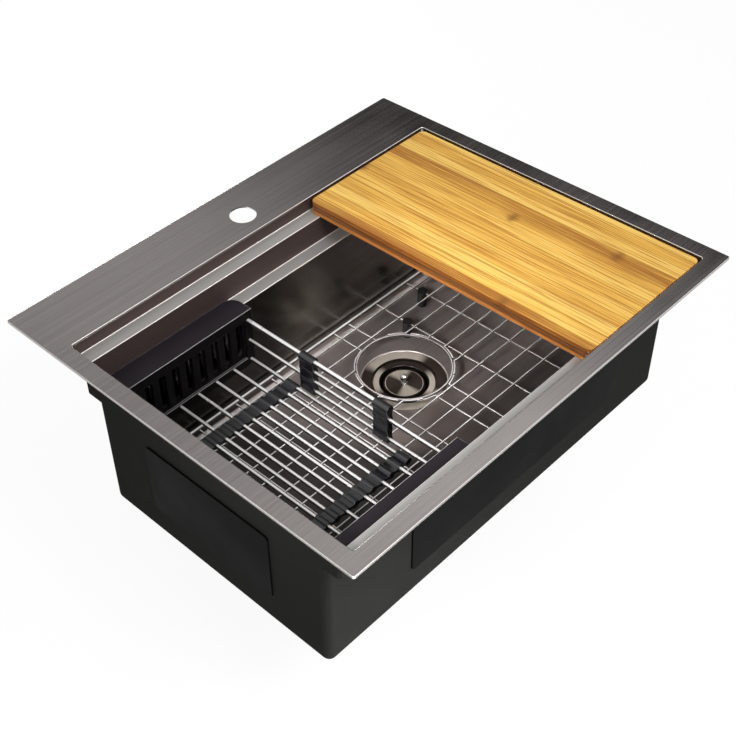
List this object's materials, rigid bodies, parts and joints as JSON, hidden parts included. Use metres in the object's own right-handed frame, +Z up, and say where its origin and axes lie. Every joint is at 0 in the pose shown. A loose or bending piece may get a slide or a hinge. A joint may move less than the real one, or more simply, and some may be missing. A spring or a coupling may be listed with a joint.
{
  "type": "workstation kitchen sink",
  "caption": "Drop-in workstation kitchen sink: stepped steel bowl with ledges, basket strainer, bottom grid, sliding bamboo board and a retractable rod colander.",
  "frame": {"origin": "middle of the deck on the plane where its rim rests on the worktop", "axes": "+X to the right of the person at the sink, +Y towards the wall, +Z up"},
  "size_m": [0.66, 0.559, 0.3979],
  "materials": {
    "bowl_steel": "brushed gunmetal",
    "undercoat": "sprayed, rough",
    "pad_rubber": "smooth",
    "strainer_steel": "brushed",
    "seal_foam": "soft",
    "black_rubber": "smooth",
    "slip_ring": "plain",
    "nut_metal": "die cast",
    "washer_plastic": "plain",
    "tube_chrome": "bright",
    "wire_steel": "polished",
    "bamboo_face": "satin, strips along the board",
    "bamboo_core": "satin, end grain",
    "end_plastic": "fine texture",
    "slider_plastic": "satin",
    "rod_steel": "polished"
  },
  "bodies": {
    "sink": {"tap_deck": "bowl_steel", "rim": "bowl_steel", "ledge_frame": "bowl_steel", "bowl_pan": "bowl_steel", "undercoat": "undercoat", "pad_left": "pad_rubber", "pad_right": "pad_rubber", "pad_front": "pad_rubber", "pad_back": "pad_rubber", "pad_bottom": "pad_rubber", "strainer_body": "strainer_steel", "strainer_outlet": "nut_metal", "strainer_seal": "seal_foam", "strainer_gasket": "black_rubber", "strainer_friction_ring": "slip_ring", "strainer_locknut": "nut_metal", "tailpiece_washer": "washer_plastic", "tailpiece": "tube_chrome", "tailpiece_nut": "tube_chrome"},
    "cutting_board": {"board_top_ply": "bamboo_face", "board_core_ply": "bamboo_core", "board_bottom_ply": "bamboo_face"},
    "colander_back": {"back_end": "end_plastic", "back_rods": "rod_steel", "back_top_rod": "rod_steel", "back_floor_slider": "slider_plastic", "back_side_sliders": "slider_plastic"},
    "colander_front": {"front_end": "end_plastic", "front_rods": "rod_steel", "front_top_rod": "rod_steel", "front_floor_slider": "slider_plastic", "front_side_sliders": "slider_plastic"},
    "basket": {"basket_cup": "strainer_steel"},
    "knob": {"knob_post": "tube_chrome", "stopper": "black_rubber", "stopper_screw": "tube_chrome"},
    "grid": {"grid_frame": "wire_steel", "grid_wires_x": "wire_steel", "grid_wires_y": "wire_steel", "grid_ring": "wire_steel", "grid_feet": "black_rubber"}
  },
  "joints": [
    {"name": "board_slide", "type": "slide", "parent": "sink", "child": "cutting_board", "axis": [1, 0, 0], "range_m": [-0.387, 0.0035]},
    {"name": "colander_slide", "type": "slide", "parent": "sink", "child": "colander_back", "axis": [1, 0, 0], "range_m": [-0.0185, 0.3855]},
    {"name": "colander_retract", "type": "slide", "parent": "colander_back", "child": "colander_front", "axis": [0, 1, 0], "range_m": [0, 0.062]},
    {"name": "basket_lift", "type": "slide", "parent": "sink", "child": "basket", "axis": [0, 0, 1], "range_m": [0, 0.055]},
    {"name": "knob_lift", "type": "slide", "parent": "basket", "child": "knob", "axis": [0, 0, 1], "range_m": [0, 0.01]},
    {"name": "grid_lift", "type": "slide", "parent": "sink", "child": "grid", "axis": [0, 0, 1], "range_m": [0, 0.045]}
  ]
}
